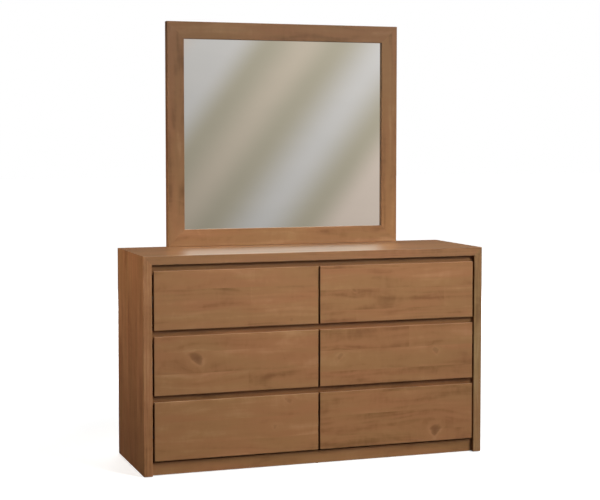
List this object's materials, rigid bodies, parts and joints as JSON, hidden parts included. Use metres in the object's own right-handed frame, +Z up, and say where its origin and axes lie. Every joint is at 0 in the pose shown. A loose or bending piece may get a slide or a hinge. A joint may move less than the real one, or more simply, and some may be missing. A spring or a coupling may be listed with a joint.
{
  "type": "dresser with mirror",
  "caption": "Low wide dresser with mitred waterfall case, handle-free drawers on telescopic slides pulled by finger gaps, and a framed mirror on its top",
  "frame": {"origin": "on the floor, at the middle of the whole piece's footprint, mirror supports included", "axes": "+X to the right as seen from the front, +Y to the back, +Z up; the drawers open towards -Y"},
  "size_m": [1.53, 0.51, 1.908],
  "materials": {
    "stained_wood": "satin mid-brown stain and lacquer",
    "frame_wood": "planed unfinished hardwood",
    "drawer_wood": "clear-coated maple",
    "plywood": "sanded plywood",
    "hardboard": "smooth brown hardboard",
    "mirror": "silvered glass",
    "slide_steel": "bright zinc",
    "zinc_steel": "yellowish zinc",
    "glide_nylon": "moulded nylon"
  },
  "bodies": {
    "case": {"top_panel": "stained_wood", "side_panel_left": "stained_wood", "side_panel_right": "stained_wood", "base_rail": "stained_wood", "front_rail_top": "stained_wood", "front_rail_upper": "stained_wood", "front_rail_lower": "stained_wood", "mirror_stile_left": "stained_wood", "mirror_stile_right": "stained_wood", "mirror_rail_top": "stained_wood", "mirror_rail_bottom": "stained_wood", "rear_rail_top": "frame_wood", "rear_rail_bottom": "frame_wood", "mirror_support_left": "frame_wood", "mirror_support_right": "frame_wood", "center_partition": "plywood", "case_bottom": "plywood", "back_panel": "plywood", "mirror_glass": "mirror", "mirror_backing": "hardboard", "backing_clips": "zinc_steel", "mirror_support_screws": "zinc_steel", "slide_case_members": "slide_steel", "floor_glides": "glide_nylon"},
    "bottom_left_drawer": {"bottom_left_drawer_front": "stained_wood", "bottom_left_drawer_sides": "drawer_wood", "bottom_left_drawer_ends": "drawer_wood", "bottom_left_drawer_bottom": "plywood", "bottom_left_slide_inner": "slide_steel"},
    "bottom_left_slide": {"bottom_left_slide_middle": "slide_steel"},
    "bottom_right_drawer": {"bottom_right_drawer_front": "stained_wood", "bottom_right_drawer_sides": "drawer_wood", "bottom_right_drawer_ends": "drawer_wood", "bottom_right_drawer_bottom": "plywood", "bottom_right_slide_inner": "slide_steel"},
    "bottom_right_slide": {"bottom_right_slide_middle": "slide_steel"},
    "middle_left_drawer": {"middle_left_drawer_front": "stained_wood", "middle_left_drawer_sides": "drawer_wood", "middle_left_drawer_ends": "drawer_wood", "middle_left_drawer_bottom": "plywood", "middle_left_slide_inner": "slide_steel"},
    "middle_left_slide": {"middle_left_slide_middle": "slide_steel"},
    "middle_right_drawer": {"middle_right_drawer_front": "stained_wood", "middle_right_drawer_sides": "drawer_wood", "middle_right_drawer_ends": "drawer_wood", "middle_right_drawer_bottom": "plywood", "middle_right_slide_inner": "slide_steel"},
    "middle_right_slide": {"middle_right_slide_middle": "slide_steel"},
    "top_left_drawer": {"top_left_drawer_front": "stained_wood", "top_left_drawer_sides": "drawer_wood", "top_left_drawer_ends": "drawer_wood", "top_left_drawer_bottom": "plywood", "top_left_slide_inner": "slide_steel"},
    "top_left_slide": {"top_left_slide_middle": "slide_steel"},
    "top_right_drawer": {"top_right_drawer_front": "stained_wood", "top_right_drawer_sides": "drawer_wood", "top_right_drawer_ends": "drawer_wood", "top_right_drawer_bottom": "plywood", "top_right_slide_inner": "slide_steel"},
    "top_right_slide": {"top_right_slide_middle": "slide_steel"}
  },
  "joints": [
    {"name": "bottom_left_pull", "type": "slide", "parent": "case", "child": "bottom_left_drawer", "axis": [0, -1, 0], "range_m": [0, 0.38]},
    {"name": "bottom_left_extend", "type": "slide", "parent": "case", "child": "bottom_left_slide", "axis": [0, -1, 0], "range_m": [0, 0.19]},
    {"name": "bottom_right_pull", "type": "slide", "parent": "case", "child": "bottom_right_drawer", "axis": [0, -1, 0], "range_m": [0, 0.38]},
    {"name": "bottom_right_extend", "type": "slide", "parent": "case", "child": "bottom_right_slide", "axis": [0, -1, 0], "range_m": [0, 0.19]},
    {"name": "middle_left_pull", "type": "slide", "parent": "case", "child": "middle_left_drawer", "axis": [0, -1, 0], "range_m": [0, 0.38]},
    {"name": "middle_left_extend", "type": "slide", "parent": "case", "child": "middle_left_slide", "axis": [0, -1, 0], "range_m": [0, 0.19]},
    {"name": "middle_right_pull", "type": "slide", "parent": "case", "child": "middle_right_drawer", "axis": [0, -1, 0], "range_m": [0, 0.38]},
    {"name": "middle_right_extend", "type": "slide", "parent": "case", "child": "middle_right_slide", "axis": [0, -1, 0], "range_m": [0, 0.19]},
    {"name": "top_left_pull", "type": "slide", "parent": "case", "child": "top_left_drawer", "axis": [0, -1, 0], "range_m": [0, 0.38]},
    {"name": "top_left_extend", "type": "slide", "parent": "case", "child": "top_left_slide", "axis": [0, -1, 0], "range_m": [0, 0.19]},
    {"name": "top_right_pull", "type": "slide", "parent": "case", "child": "top_right_drawer", "axis": [0, -1, 0], "range_m": [0, 0.38]},
    {"name": "top_right_extend", "type": "slide", "parent": "case", "child": "top_right_slide", "axis": [0, -1, 0], "range_m": [0, 0.19]}
  ],
  "couplings": [
    {"joint": "bottom_left_extend", "follows": "bottom_left_pull", "ratio": 0.5},
    {"joint": "bottom_right_extend", "follows": "bottom_right_pull", "ratio": 0.5},
    {"joint": "middle_left_extend", "follows": "middle_left_pull", "ratio": 0.5},
    {"joint": "middle_right_extend", "follows": "middle_right_pull", "ratio": 0.5},
    {"joint": "top_left_extend", "follows": "top_left_pull", "ratio": 0.5},
    {"joint": "top_right_extend", "follows": "top_right_pull", "ratio": 0.5}
  ]
}
